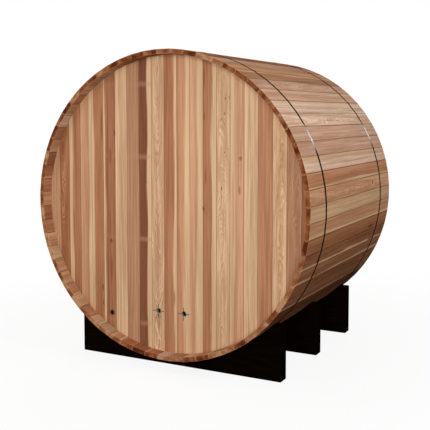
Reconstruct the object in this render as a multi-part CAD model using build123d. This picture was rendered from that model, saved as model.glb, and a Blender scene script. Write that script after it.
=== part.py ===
from build123d import *
import math
import os

# Barrel sauna, in millimetres. +Z is up, the barrel lies along Y and its rear end wall faces -Y.
# The origin is on level ground under the middle of the barrel.

# Barrel of staves, laid edge to edge round a level axis
barrel_length = 1520.0
barrel_radius = 900.0            # axis to the flat outside face of a stave
ground_clearance = 69.0          # ground to the lowest stave
stave_count = 64
stave_thickness = 28.0
stave_gap = 0.5                  # open joint between two staves
stave_arris = 1.5                # bevel on the outside edges of a stave
bead_shoulder = 4.0              # flat left on either side of a stave's bead and cove
bead_rise = 5.0                  # height of the bead, and depth of the cove that takes it
bead_flats = 3                   # flats that follow the round of a bead

# End walls of upright boards, held in a croze cut round the inside of the staves
wall_recess = 75.0               # stave ends to the outside face of a wall
wall_thickness = 28.0
croze_depth = 10.0
croze_clearance = 0.4
board_pitch = 86.0
board_gap = 0.4                  # open joint between two boards
narrowest_board = 30.0           # a narrower strip at the rim is joined to the board beside it
tongue_depth = 7.0
tongue_thickness = 9.0
tongue_clearance = 0.3
rear_joint_offset = 39.0         # nearest board joint, left of the barrel's middle

# Fittings low on the rear wall
sleeve_diameter = 38.0           # outside, of the two steel cable sleeves
sleeve_wall = 1.5
sleeve_tail = 12.0               # what stands out inside the room
sleeve_clearance = 0.2
sleeve_rise = 238.0              # lowest inside face of the barrel to the middle of a sleeve
grommet_rim_distance = 75.6      # inside face of the staves to the middle of the grommet
grommet_angle = 31.2             # degrees from straight down, towards the left
grommet_flange_diameter = 32.0
grommet_flange_thickness = 3.0
grommet_neck_diameter = 22.0
grommet_bore_diameter = 14.0
grommet_clearance = 0.2

# Cradles under the barrel
cradle_thickness = 76.0
cradle_hug_angle = 43.8          # degrees from straight down to where the saddle ends
cradle_horn_width = 55.0         # flat top beyond the saddle
saddle_clearance = 0.3
rear_cradle_setback = 140.0      # rear end of the staves to the rear cradle
front_cradle_setback = 172.0     # front end of the staves to the front cradle

# Steel bands round the staves, each open at two lugs that a bolt draws together
band_width = 20.0
band_thickness = 1.0
band_seat = 0.2
rear_band_setback = 238.0        # rear end of the staves to the middle of the rear band
front_band_setback = 220.0
band_relief_clearance = 0.5      # room for a band where it passes through a saddle
clamp_angle = 213.75             # degrees, counted up from three o'clock as seen from the rear
clamp_gap = 14.0
lug_thickness = 3.0
lug_height = 26.0

# Doorway and board door in the front wall
doorway_width = 600.0
door_frame_width = 45.0
door_frame_proud = 12.0          # frame and door stand out from the wall by this much
door_frame_clearance = 0.4
door_frame_cover = 32.0          # wall left between the frame's corners and the staves
door_stop = 10.0                 # lip behind the edge of the door
door_thickness = 28.0
door_clearance = 3.0
door_seat = 0.4                  # door to the lip behind it
door_board_count = 7
ledge_width = 110.0
ledge_thickness = 24.0
ledge_inset = 190.0              # end of the door to the middle of a ledge
ledge_end_clearance = 8.0
hinge_height = 100.0
hinge_leaf_width = 38.0
hinge_leaf_thickness = 3.0
hinge_knuckle_diameter = 12.0
handle_length = 260.0
handle_diameter = 32.0
handle_end_bevel = 6.0
handle_standoff = 38.0           # door face to the middle of the grip
handle_post_size = 20.0
handle_post_inset = 40.0
handle_edge = 70.0               # door edge to the middle of the handle

overrun = 5.0                    # how far every cutter runs past what it cuts

# Worked-out places
axis_height = barrel_radius + ground_clearance
half_length = barrel_length / 2
half_pitch = math.pi / stave_count
inner_radius = barrel_radius - stave_thickness
wall_radius = inner_radius + croze_depth - croze_clearance
rear_wall_y = -half_length + wall_recess
front_wall_y = half_length - wall_recess
room_rear_y = rear_wall_y + wall_thickness
room_front_y = front_wall_y - wall_thickness
rear_band_y = -half_length + rear_band_setback
front_band_y = half_length - front_band_setback
saddle_radius = barrel_radius + saddle_clearance

parts = {}


def on_axis(shape):
    """Raise a shape that was drawn round the barrel's axis to its height over the ground."""
    return Pos(0, 0, axis_height) * shape


def stave_plug(face_distance, near_y, far_y):
    """Plug on the barrel's axis, with one flat for each stave at the given distance from it, from
    one place along the axis to another."""
    outline = RegularPolygon(face_distance, stave_count, major_radius=False, rotation=180 / stave_count)
    plug = extrude(Plane.XZ * outline, amount=(far_y - near_y) / 2, both=True)
    return Pos(0, (near_y + far_y) / 2, 0) * plug


def block(x_range, y_range, z_range):
    """Rectangular block between the given limits along each axis."""
    sizes = [high - low for low, high in (x_range, y_range, z_range)]
    middle = [(high + low) / 2 for low, high in (x_range, y_range, z_range)]
    return Pos(*middle) * Box(*sizes)


def add(name, *shapes):
    """Keep the solids of one named piece, raised to the barrel's height over the ground."""
    parts[name] = [solid for shape in shapes for solid in on_axis(shape).solids()]


# Staves
def stave_edge(radius):
    """Half the width of a stave at one distance from the barrel's axis, less half a joint."""
    return radius * math.tan(half_pitch) - stave_gap / (2 * math.cos(half_pitch))


def bead_curve(side):
    """Points from the inside to the outside of a stave along one edge, on a circle of the bead's
    chord and rise. Both edges curve to the lower side: the lower one is the bead, which stands out
    of the stave, and the upper one is the cove, which goes into it."""
    half_chord = stave_thickness / 2 - bead_shoulder
    radius = (half_chord**2 + bead_rise**2) / (2 * bead_rise)
    half_angle = math.asin(half_chord / radius)
    middle = barrel_radius - stave_thickness / 2
    points = []
    for step in range(bead_flats + 1):
        angle = half_angle * (2 * step / bead_flats - 1)
        along = radius * math.sin(angle)
        drop = radius * math.cos(angle) - radius + bead_rise
        x = middle + along * math.cos(half_pitch) + side * drop * math.sin(half_pitch)
        z = side * (stave_edge(middle) + along * math.sin(half_pitch)) - drop * math.cos(half_pitch)
        points.append((x, z))
    return points


def stave_outline():
    """End section of the stave at three o'clock: flat faces, bevelled outside edges, a bead along
    its lower edge and a cove along its upper one, so that each bead lies in the next cove."""
    bevel_start = barrel_radius - stave_arris
    face_half = stave_edge(barrel_radius) - stave_arris
    points = [(inner_radius, -stave_edge(inner_radius))]
    points += bead_curve(-1)
    points += [
        (bevel_start, -stave_edge(bevel_start)),
        (barrel_radius, -face_half),
        (barrel_radius, face_half),
        (bevel_start, stave_edge(bevel_start)),
    ]
    points += reversed(bead_curve(1))
    points.append((inner_radius, stave_edge(inner_radius)))
    return make_face(Polyline(*points, close=True))


def croze_cutter(wall_y):
    """Cutter for the groove that takes the edge of an end wall, across the stave at three o'clock."""
    half_width = barrel_radius * math.tan(half_pitch) + bead_rise + overrun
    return block(
        (inner_radius - overrun, inner_radius + croze_depth),
        (wall_y - croze_clearance, wall_y + wall_thickness + croze_clearance),
        (-half_width, half_width),
    )


def make_stave():
    """One stave at three o'clock, with a croze near each end."""
    stave = extrude(Plane.XZ * stave_outline(), amount=half_length, both=True)
    return stave - croze_cutter(rear_wall_y) - croze_cutter(room_front_y)


def add_staves():
    """All the staves, in eight groups round the barrel."""
    names = (
        "right_staves", "upper_right_staves", "roof_staves", "upper_left_staves",
        "left_staves", "lower_left_staves", "floor_staves", "lower_right_staves",
    )
    stave = make_stave()
    pitch_degrees = 360 / stave_count
    per_group = stave_count / len(names)
    groups = {name: [] for name in names}
    for index in range(stave_count):
        group = names[int((index + per_group / 2) / per_group) % len(names)]
        groups[group].append(Rot(0, -index * pitch_degrees, 0) * stave)
    for name, staves in groups.items():
        add(name, *staves)


# Boards
def board_outline(left, right, near_y, thickness, grooved, tongued):
    """Plan of one board between two joints, with a groove in its left edge and a tongue on its
    right edge where another board lies there."""
    middle_y = near_y + thickness / 2
    far_y = near_y + thickness
    tongue_half = tongue_thickness / 2
    groove_half = tongue_half + tongue_clearance
    points = [(left, near_y), (right, near_y)]
    if tongued:
        points += [
            (right, middle_y - tongue_half),
            (right + tongue_depth, middle_y - tongue_half),
            (right + tongue_depth, middle_y + tongue_half),
            (right, middle_y + tongue_half),
        ]
    points += [(right, far_y), (left, far_y)]
    if grooved:
        points += [
            (left, middle_y + groove_half),
            (left + tongue_depth, middle_y + groove_half),
            (left + tongue_depth, middle_y - groove_half),
            (left, middle_y - groove_half),
        ]
    return make_face(Polyline(*points, close=True))


def make_boards(joints, near_y, thickness, z_range):
    """A row of upright boards between the given joints, tongue in groove, as separate solids."""
    low, high = z_range
    boards = []
    last = len(joints) - 2
    for index, (left, right) in enumerate(zip(joints, joints[1:])):
        outline = board_outline(
            left + board_gap / 2, right - board_gap / 2, near_y, thickness, index > 0, index < last
        )
        boards.append(extrude(Pos(0, 0, low) * outline, amount=high - low))
    return boards


def rim_joints(first_joint, limit):
    """Joints every board pitch out from the first one, then the rim of the wall itself."""
    steps = int((limit - narrowest_board - first_joint) / board_pitch)
    return [first_joint + step * board_pitch for step in range(steps + 1)] + [limit + overrun]


def mirrored(joints):
    """The same joints on the other side of the barrel's middle, from left to right."""
    return [-joint for joint in reversed(joints)]


def even_joints(left, right, count):
    """Joints that share out a width evenly."""
    return [left + (right - left) * step / count for step in range(count + 1)]


# Rear wall and its fittings
left_sleeve_x = -rear_joint_offset - board_pitch / 2
right_sleeve_x = left_sleeve_x + 2 * board_pitch
sleeve_drop = inner_radius - sleeve_rise
grommet_reach = inner_radius - grommet_rim_distance
grommet_x = -grommet_reach * math.sin(math.radians(grommet_angle))
grommet_drop = grommet_reach * math.cos(math.radians(grommet_angle))


def across_wall(x, drop, shape):
    """Set a fitting drawn along Z with its face at zero into the rear wall, running inwards."""
    return Pos(x, rear_wall_y, -drop) * Rot(-90, 0, 0) * shape


def pin(diameter, near, far):
    """Round bar along Z from one height to another."""
    return Pos(0, 0, near) * Cylinder(
        diameter / 2, far - near, align=(Align.CENTER, Align.CENTER, Align.MIN)
    )


def make_sleeve():
    """Steel tube through the wall, flush with its outside face."""
    length = wall_thickness + sleeve_tail
    bore = pin(sleeve_diameter - 2 * sleeve_wall, -overrun, length + overrun)
    return pin(sleeve_diameter, 0, length) - bore


def make_grommet():
    """Rubber grommet: a flange on the wall and a neck through it, with a cable bore."""
    bore_radius = grommet_bore_diameter / 2
    neck_radius = grommet_neck_diameter / 2
    flange_radius = grommet_flange_diameter / 2
    front = -grommet_flange_thickness
    section = Polyline(
        (bore_radius, front),
        (flange_radius, front),
        (flange_radius, 0),
        (neck_radius, 0),
        (neck_radius, wall_thickness),
        (bore_radius, wall_thickness),
        close=True,
    )
    return revolve(Plane.XZ * make_face(section), Axis.Z)


def add_rear_wall():
    """Boards across the rear end, with the sleeves and the grommet let into them."""
    right = rim_joints(board_pitch - rear_joint_offset, wall_radius)
    left = mirrored(rim_joints(rear_joint_offset, wall_radius))
    rim = stave_plug(wall_radius, rear_wall_y, room_rear_y)
    reach = wall_radius + overrun
    boards = make_boards(left + right, rear_wall_y, wall_thickness, (-reach, reach))
    hole_end = wall_thickness + overrun
    sleeve_hole = pin(sleeve_diameter + 2 * sleeve_clearance, -overrun, hole_end)
    grommet_hole = pin(grommet_neck_diameter + 2 * grommet_clearance, -overrun, hole_end)
    holes = [
        across_wall(left_sleeve_x, sleeve_drop, sleeve_hole),
        across_wall(right_sleeve_x, sleeve_drop, sleeve_hole),
        across_wall(grommet_x, grommet_drop, grommet_hole),
    ]
    add("rear_wall", *[(board & rim) - holes for board in boards])
    sleeves = [across_wall(x, sleeve_drop, make_sleeve()) for x in (left_sleeve_x, right_sleeve_x)]
    add("cable_sleeves", *sleeves)
    add("cable_grommet", across_wall(grommet_x, grommet_drop, make_grommet()))


# Cradles
def make_cradle(near_y):
    """Plank on edge with a saddle cut to the staves, and a relief where a band crosses it."""
    hug = math.radians(cradle_hug_angle)
    half_width = saddle_radius * math.sin(hug) + cradle_horn_width
    far_y = near_y + cradle_thickness
    plank = block(
        (-half_width, half_width), (near_y, far_y), (-axis_height, -saddle_radius * math.cos(hug))
    )
    cradle = plank - stave_plug(saddle_radius, near_y - overrun, far_y + overrun)
    relief_radius = barrel_radius + band_seat + band_thickness + band_relief_clearance
    relief_half = band_width / 2 + band_relief_clearance
    for band_y in (rear_band_y, front_band_y):
        cradle -= stave_plug(relief_radius, band_y - relief_half, band_y + relief_half)
    return cradle


def add_cradles():
    """Cradles near both ends, and one midway between them."""
    rear_y = -half_length + rear_cradle_setback
    front_y = half_length - front_cradle_setback - cradle_thickness
    add("rear_cradle", make_cradle(rear_y))
    add("middle_cradle", make_cradle((rear_y + front_y) / 2))
    add("front_cradle", make_cradle(front_y))


# Bands
def at_clamp(band_y, shape):
    """Set a piece drawn at three o'clock, over the origin, on the outside of a band's clamp."""
    return Pos(0, band_y, 0) * Rot(0, -clamp_angle, 0) * Pos(barrel_radius + band_seat, 0, 0) * shape


def make_lug(side):
    """Upright lug at one end of a band, on the given side of its clamp."""
    near = side * clamp_gap / 2
    far = side * (clamp_gap / 2 + lug_thickness)
    across = (-band_width / 2, band_width / 2)
    return block((0, band_thickness + lug_height), across, (min(near, far), max(near, far)))


def make_band(band_y):
    """Steel strap with one flat to each stave, open at its clamp, with a lug at either end."""
    near_y = band_y - band_width / 2
    far_y = band_y + band_width / 2
    strap = stave_plug(barrel_radius + band_seat + band_thickness, near_y, far_y)
    strap -= stave_plug(barrel_radius + band_seat, near_y - overrun, far_y + overrun)
    opening = block(
        (-overrun, overrun), (-band_width, band_width), (-clamp_gap / 2, clamp_gap / 2)
    )
    strap -= at_clamp(band_y, opening)
    return strap + at_clamp(band_y, make_lug(-1)) + at_clamp(band_y, make_lug(1))


def add_bands():
    """One band near each end of the barrel."""
    add("rear_band", make_band(rear_band_y))
    add("front_band", make_band(front_band_y))


# Front wall round the doorway
frame_half_width = doorway_width / 2 + door_frame_width
frame_half_height = math.sqrt((inner_radius - door_frame_cover) ** 2 - frame_half_width**2)
doorway_half_height = frame_half_height - door_frame_width
frame_face_y = front_wall_y + door_frame_proud
door_inner_y = frame_face_y - door_thickness
stop_y = door_inner_y - door_seat


def add_front_wall():
    """Boards beside, over and under the doorway."""
    rim = stave_plug(wall_radius, room_front_y, front_wall_y)
    reach = wall_radius + overrun
    edge_x = frame_half_width + door_frame_clearance
    edge_z = frame_half_height + door_frame_clearance
    right = rim_joints(edge_x, wall_radius)
    short = even_joints(-edge_x, edge_x, round(2 * edge_x / board_pitch))
    panels = (
        ("front_wall_right", right, (-reach, reach)),
        ("front_wall_left", mirrored(right), (-reach, reach)),
        ("front_wall_over_door", short, (edge_z, reach)),
        ("front_wall_under_door", short, (-reach, -edge_z)),
    )
    for name, joints, z_range in panels:
        boards = make_boards(joints, room_front_y, wall_thickness, z_range)
        add(name, *[board & rim for board in boards])


def add_door_frame():
    """Jambs, head and sill, each rebated to leave a lip behind the door."""
    half_width = doorway_width / 2
    depth = (room_front_y, frame_face_y)
    rebate = (stop_y, frame_face_y + overrun)
    lip_half_width = half_width - door_stop
    lip_half_height = doorway_half_height - door_stop
    room = block(
        (-half_width, half_width), rebate, (-doorway_half_height, doorway_half_height)
    )
    jamb_z = (-doorway_half_height, doorway_half_height)
    add("right_door_jamb", block((lip_half_width, frame_half_width), depth, jamb_z) - room)
    add("left_door_jamb", block((-frame_half_width, -lip_half_width), depth, jamb_z) - room)
    across = (-frame_half_width, frame_half_width)
    lip_gap = block(
        (-frame_half_width - overrun, -lip_half_width), depth, (-doorway_half_height, doorway_half_height)
    )
    corners = lip_gap + mirror(lip_gap, Plane.YZ)
    add("door_head", block(across, depth, (lip_half_height, frame_half_height)) - room - corners)
    add("door_sill", block(across, depth, (-frame_half_height, -lip_half_height)) - room - corners)


# Door
door_half_width = doorway_width / 2 - door_clearance
door_half_height = doorway_half_height - door_clearance
hinge_x = -doorway_width / 2 + door_clearance / 2
hinge_z = door_half_height - ledge_inset


def make_hinge(z):
    """Butt hinge, closed, across the joint of door and jamb: a leaf on each, and the knuckle."""
    half = hinge_height / 2
    leaf_y = (frame_face_y, frame_face_y + hinge_leaf_thickness)
    leaves = block((hinge_x - hinge_leaf_width, hinge_x + hinge_leaf_width), leaf_y, (-half, half))
    knuckle_y = frame_face_y + hinge_knuckle_diameter / 2
    knuckle = Pos(hinge_x, knuckle_y, 0) * pin(hinge_knuckle_diameter, -half, half)
    return Pos(0, 0, z) * (leaves + knuckle)


def make_handle():
    """Wooden pull: a round grip with bevelled ends, on two square posts."""
    grip_y = frame_face_y + handle_standoff
    half = handle_length / 2
    grip = Pos(0, grip_y, 0) * pin(handle_diameter, -half, half)
    grip = chamfer(grip.edges().filter_by(GeomType.CIRCLE), handle_end_bevel)
    post_half = handle_post_size / 2
    post = block((-post_half, post_half), (frame_face_y, grip_y), (-post_half, post_half))
    for post_z in (half - handle_post_inset, handle_post_inset - half):
        grip += Pos(0, 0, post_z) * post
    return Pos(door_half_width - handle_edge, 0, 0) * grip


def add_door():
    """Board door on two ledges, closed in its frame."""
    joints = even_joints(-door_half_width, door_half_width, door_board_count)
    door_z = (-door_half_height, door_half_height)
    add("door_boards", *make_boards(joints, door_inner_y, door_thickness, door_z))
    ledge_half_length = doorway_width / 2 - door_stop - ledge_end_clearance
    ledge_y = (door_inner_y - ledge_thickness, door_inner_y)
    ledges = []
    for z in (hinge_z, -hinge_z):
        z_range = (z - ledge_width / 2, z + ledge_width / 2)
        ledges.append(block((-ledge_half_length, ledge_half_length), ledge_y, z_range))
    add("door_ledges", *ledges)
    add("door_hinges", make_hinge(hinge_z), make_hinge(-hinge_z))
    add("door_handle", make_handle())


add_staves()
add_rear_wall()
add_cradles()
add_bands()
add_front_wall()
add_door_frame()
add_door()

os.makedirs("parts", exist_ok=True)
for name, solids in parts.items():
    export_step(Compound(children=solids), f"parts/{name}.step")
    print(name, len(solids))
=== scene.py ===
# %% [markdown]
# # A cedar barrel sauna
# The packed model gives every piece its place and size. This lesson dresses it: the cedar staves and
# boards are built again with eased edges and a grain that follows each plank's own log, and the
# steel, the rubber and the black cradles get finishes of their own.

import bpy
import numpy as np
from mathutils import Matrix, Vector


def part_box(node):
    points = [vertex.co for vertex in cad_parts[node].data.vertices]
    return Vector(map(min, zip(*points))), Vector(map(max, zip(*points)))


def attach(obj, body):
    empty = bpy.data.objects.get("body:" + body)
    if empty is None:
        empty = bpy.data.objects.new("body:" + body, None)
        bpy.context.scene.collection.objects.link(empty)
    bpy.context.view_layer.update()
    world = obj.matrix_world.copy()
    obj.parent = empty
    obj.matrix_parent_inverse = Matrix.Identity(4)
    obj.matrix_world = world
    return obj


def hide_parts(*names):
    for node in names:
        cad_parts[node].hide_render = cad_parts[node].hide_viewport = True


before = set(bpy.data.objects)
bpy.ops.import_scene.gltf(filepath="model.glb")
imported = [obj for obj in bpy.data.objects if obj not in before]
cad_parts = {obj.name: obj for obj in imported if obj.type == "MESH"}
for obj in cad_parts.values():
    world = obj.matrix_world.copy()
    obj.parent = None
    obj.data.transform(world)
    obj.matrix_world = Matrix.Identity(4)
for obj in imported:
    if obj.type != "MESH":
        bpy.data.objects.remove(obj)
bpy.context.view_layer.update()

# %% [markdown]
# ## Sizes
# The barrel lies along Y, with the photographed end wall towards -Y. Its radius, its axis and the
# wall's faces could be typed again, but reading them from the frame keeps the dressing on the model
# if the model changes. Angles run round the axis from the right, as seen from the rear.

# %% Read the barrel's sizes
def corners(node):
    """Lowest and highest corner of a node, as arrays."""
    low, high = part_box(node)
    return np.array(low, float), np.array(high, float)


millimetre = 0.001
barrel_radius = corners("right_staves")[1][0]
rear_y = corners("roof_staves")[0][1]
axis_height = corners("roof_staves")[1][2] - barrel_radius
wall_y, wall_back_y = corners("rear_wall")[0][1], corners("rear_wall")[1][1]
wall_thickness = wall_back_y - wall_y
wall_radius = corners("rear_wall")[1][0]
stave_count = 64
stave_step = 2 * np.pi / stave_count
print("barrel radius", barrel_radius, "axis height", axis_height, "wall radius", wall_radius)

# %% [markdown]
# ## Planks from rings
# A stave, a board or a beam is one closed section carried along the plank. The sections are kept as
# an array of rings, so a whole wall of planks is a few array sums. The first half of a ring runs down
# one edge of the plank and the second half comes back up the other, so rungs between the two halves
# close an end without a fan of thin triangles. A surface that closes both ways, such as a tube or a
# board round its hole, needs no ends at all.

# %% Turn rings into faces
def plank_faces(shape):
    """Faces of closed planks, for rings of shape (planks, stations, around).

    A side face joins ring point j to j + 1, and to the same two points of the next station. An end
    face joins points j and j + 1 to their partners on the other half, at 2n - 1 - j and 2n - 2 - j.
    The second value says, for each face, which plank's end it is, or -1 on a side.
    """
    count, stations, around = shape
    index = np.arange(count * stations * around).reshape(shape)
    near, far = index[:, :-1], index[:, 1:]
    sides = np.stack([near, np.roll(near, -1, 2), np.roll(far, -1, 2), far], -1).reshape(-1, 4)
    rung = np.arange(around // 2 - 1)
    partner = around - 1 - rung
    first, last = index[:, 0], index[:, -1]
    start = np.stack(
        [first[:, rung + 1], first[:, rung], first[:, partner], first[:, partner - 1]], -1
    )
    finish = np.stack([last[:, rung], last[:, rung + 1], last[:, partner - 1], last[:, partner]], -1)
    ends = np.concatenate([start, finish], 1)
    owner = np.repeat(np.arange(count), ends.shape[1])
    quads = np.concatenate([sides, ends.reshape(-1, 4)])
    return quads, np.concatenate([np.full(len(sides), -1), owner])


def loop_faces(shape):
    """Faces of a surface that closes both ways, for a grid of shape (rows, columns)."""
    index = np.arange(shape[0] * shape[1]).reshape(shape)
    below = np.roll(index, -1, 0)
    return np.stack([index, np.roll(index, -1, 1), np.roll(below, -1, 1), below], -1).reshape(-1, 4)


def facing_out(points, quads):
    """The faces, turned round if the volume that they enclose comes out negative."""
    a, b, c, d = (points[quads[:, corner]] for corner in range(4))
    volume = np.einsum("ij,ij->", a, np.cross(b, c)) + np.einsum("ij,ij->", a, np.cross(c, d))
    return quads if volume > 0 else quads[:, ::-1]


def closed_planks(rings):
    """Points, faces and each face's owner, for rings of shape (planks, stations, around, 3)."""
    quads, owner = plank_faces(rings.shape[:3])
    points = rings.reshape(-1, 3)
    return points, facing_out(points, quads), owner


def capped(rings):
    """One piece without marks, for rings of shape (stations, around, 3), closed at both ends."""
    points, quads, _ = closed_planks(rings[None])
    return points, quads, {}


print("a bar of two eight-point rings has", len(plank_faces((1, 2, 8))[0]), "faces")


# %% Put pieces into the scene
def joined(batches):
    """One set of points, faces and marks from several, each given as (points, faces, marks)."""
    offsets = np.cumsum([0] + [len(points) for points, _, _ in batches[:-1]])
    points = np.concatenate([batch[0] for batch in batches])
    quads = np.concatenate([batch[1] + offset for batch, offset in zip(batches, offsets)])
    marks = {name: np.concatenate([batch[2][name] for batch in batches]) for name in batches[0][2]}
    return points, quads, marks


mark_kinds = {1: ("FLOAT", "value"), 3: ("FLOAT_VECTOR", "vector"), 4: ("FLOAT_COLOR", "color")}


def add_piece(name, batches, finish, nodes=()):
    """Put points, faces and marks into a mesh that rides on the building and stands for its nodes."""
    points, quads, marks = joined(batches)
    mesh = bpy.data.meshes.new(name)
    mesh.from_pydata(points.tolist(), [], quads.tolist())
    for mark, values in marks.items():
        domain = "FACE" if mark == "end" else "POINT"
        kind, field = mark_kinds[1 if values.ndim == 1 else values.shape[1]]
        layer = mesh.attributes.new(mark, kind, domain)
        layer.data.foreach_set(field, np.ascontiguousarray(values, np.float32).ravel())
    mesh.materials.append(finish)
    piece = bpy.data.objects.new(name, mesh)
    bpy.context.scene.collection.objects.link(piece)
    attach(piece, "root")
    if nodes:
        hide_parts(*nodes)
    print(name, len(points), "points", len(quads), "faces")


# %% [markdown]
# ## Finishes as node graphs
# Every finish is worked out by nodes, with no picture. Nodes could be wired one by one in the editor,
# but a small class keeps the wiring short and lets it be read: each call adds a node or two, takes
# numbers or other nodes' outputs, and returns its own output.

# %% A short way to write nodes
def shade(red, green, blue):
    """Linear colour of a colour given in 0-255 sRGB steps: the sRGB curve, undone."""
    value = np.array((red, green, blue)) / 255.0
    return np.where(value <= 0.04045, value / 12.92, ((value + 0.055) / 1.055) ** 2.4)


def opaque(colour):
    """A colour with full alpha, as a node's socket takes it."""
    return (*[float(value) for value in colour], 1.0)


class Graph:
    """The node graph of a material or of the world, with sums on numbers and vectors."""

    def __init__(self, owner):
        owner.use_nodes = True
        self.owner, self.tree = owner, owner.node_tree

    def put(self, socket, value):
        """Link an output to a socket, or set the socket's own value."""
        if isinstance(value, bpy.types.NodeSocket):
            self.tree.links.new(value, socket)
        else:
            socket.default_value = value

    def shader(self, name, value):
        """Link or set one socket of a material's own shader."""
        self.put(self.tree.nodes["Principled BSDF"].inputs[name], value)

    def node(self, kind, values, **settings):
        """Add a node, with its settings and its inputs by place or name."""
        node = self.tree.nodes.new(kind)
        for setting, value in settings.items():
            setattr(node, setting, value)
        for key, value in values.items():
            self.put(node.inputs[key], value)
        return node

    def math(self, operation, *values):
        """A sum on single numbers."""
        return self.node("ShaderNodeMath", dict(enumerate(values)), operation=operation).outputs[0]

    def times(self, product, *others):
        """Product of single numbers."""
        for other in others:
            product = self.math("MULTIPLY", product, other)
        return product

    def apart(self, first, second):
        """How far one number is from another."""
        return self.math("ABSOLUTE", self.math("SUBTRACT", first, second))

    def waved(self, value, noise, amount):
        """A number moved up and down by a noise: amount times noise less a half, added to it."""
        return self.math("MULTIPLY_ADD", self.math("SUBTRACT", noise, 0.5), amount, value)

    def vector(self, operation, *values):
        """A sum on vectors. A length comes out as a number."""
        node = self.node("ShaderNodeVectorMath", dict(enumerate(values)), operation=operation)
        return node.outputs["Value" if operation == "LENGTH" else "Vector"]


print("mid grey in linear light", shade(128, 128, 128).round(3))


# %% Patterns, colours and marks
class Finish(Graph):
    """A graph with the patterns, colours and relief that the finishes share."""

    def noise(self, place, scale, detail=2.0, stretch=None):
        """Smooth noise from 0 to 1 at a place, whose coordinates may be stretched first."""
        if stretch:
            place = self.vector("MULTIPLY", place, stretch)
        values = {"Vector": place, "Scale": scale, "Detail": detail}
        return self.node("ShaderNodeTexNoise", values).outputs["Fac"]

    def ease(self, value, low, high, start=0.0, stop=1.0):
        """Smooth step from start to stop, as the value goes from low to high."""
        values = {"Value": value, 1: low, 2: high, 3: start, 4: stop}
        return self.node("ShaderNodeMapRange", values, interpolation_type="SMOOTHSTEP").outputs[0]

    def mix(self, amount, first, second, blend="MIX"):
        """Blend of two colours."""
        values = {0: amount, 6: first, 7: second}
        return self.node("ShaderNodeMix", values, data_type="RGBA", blend_type=blend).outputs[2]

    def tinted(self, colour, tint):
        """A colour times a tint."""
        return self.mix(1.0, colour, opaque(tint), "MULTIPLY")

    def ramp(self, value, stops):
        """Colour at a value between stops, each a place and a colour."""
        node = self.node("ShaderNodeValToRGB", {0: value})
        elements = node.color_ramp.elements
        elements[0].position, elements[1].position = stops[0][0], stops[-1][0]
        elements[0].color, elements[1].color = opaque(stops[0][1]), opaque(stops[-1][1])
        for place, colour in stops[1:-1]:
            elements.new(place).color = opaque(colour)
        return node.outputs["Color"]

    def mark(self, name, output):
        """A value that the mesh carries."""
        return self.node("ShaderNodeAttribute", {}, attribute_name=name).outputs[output]

    def split(self, vector):
        """The three numbers of a vector."""
        return self.node("ShaderNodeSeparateXYZ", {0: vector}).outputs

    def object_place(self):
        """The place on the object, in metres."""
        return self.node("ShaderNodeTexCoord", {}).outputs["Object"]

    def nearest(self, place, spots):
        """Way to the nearest of some spots, in half lengths. A spot is a centre and half lengths."""
        ways = []
        for centre, half in spots:
            share = self.vector("DIVIDE", self.vector("SUBTRACT", place, centre), half)
            ways.append(self.vector("LENGTH", share))
        nearest = ways[0]
        for way in ways[1:]:
            nearest = self.math("MINIMUM", nearest, way)
        return nearest

    def bump(self, height, strength, distance):
        """Small relief on the surface."""
        values = {"Height": height, "Strength": strength, "Distance": distance}
        self.shader("Normal", self.node("ShaderNodeBump", values).outputs[0])

    def seen(self):
        """1 on rays that show a thing to the camera, mirrored or through glass too, else 0."""
        path = self.node("ShaderNodeLightPath", {}).outputs
        either = self.math("MAXIMUM", path["Is Camera Ray"], path["Is Glossy Ray"])
        return self.math("MAXIMUM", either, path["Is Transmission Ray"])


print("a finish is", Finish.__doc__)

# %% [markdown]
# ## Cedar
# Cedar planks differ by where they lay in the log. Year rings are cylinders about the pith, so the
# distance from the pith, measured in ring widths, gives straight lines on a plank cut beside it,
# nested arches on one cut over it, and arcs on every end. A photo of wood could be wrapped round the
# barrel, but it would repeat, and its ends would not fit its sides. Here each plank carries its own
# log coordinates as a mark on its points, and one finish reads them for all planks. Other marks hold
# the heartwood's colour and the strength of its figure, the way to the pale sapwood, how much the
# plank kept of its stacking strips, the way to its edges, and the shade of its sawn ends.

# %% Rings and fibres of a plank
ring_width = 2.6 * millimetre
far_wander, near_wander = 30 * millimetre, 9 * millimetre
knot_push = 16 * millimetre


class Cedar(Finish):
    """A graph with the marks of a plank, the noises along its grain and its year rings."""

    def __init__(self, name, knots):
        super().__init__(bpy.data.materials.new(name))
        self.wood, self.end = self.mark("wood", "Vector"), self.mark("end", "Fac")
        self.tone, self.figure = self.mark("tone", "Color"), self.mark("tone", "Alpha")
        self.sap_way, self.sticker, self.across = self.split(self.mark("marks", "Vector"))
        self.place = self.object_place()
        scales = 22.0, 85.0, 330.0
        self.broad, self.streak, self.hair = (self.fibre(0.025, scale) for scale in scales)
        self.drift, self.ripple = self.fibre(0.3, 7.0), self.fibre(0.2, 42.0)
        self.knot_way = None
        if knots:
            self.knot_way = self.waved(self.nearest(self.place, knots), self.ripple, 1.2)
        self.rings = self.math("DIVIDE", self.pith_way(), ring_width)

    def fibre(self, pace, scale, detail=2.0):
        """Noise drawn out along the grain, where it changes at a slower pace than across it."""
        return self.noise(self.wood, scale, detail, (1.0, 1.0, pace))

    def pith_way(self):
        """Distance from the pith, which wanders along the log and is pushed out round a knot."""
        across = self.vector("LENGTH", self.vector("MULTIPLY", self.wood, (1.0, 1.0, 0.0)))
        near = self.times(self.ripple, near_wander)
        wander = self.math("MULTIPLY_ADD", self.drift, far_wander, near)
        way = self.math("ADD", across, wander)
        if self.knot_way is not None:
            way = self.math("ADD", way, self.ease(self.knot_way, 0.5, 4.0, knot_push, 0.0))
        return way


print("rings", ring_width, "metres wide")

# %% Heartwood and sapwood
sapwood = shade(205, 171, 135)


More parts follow.
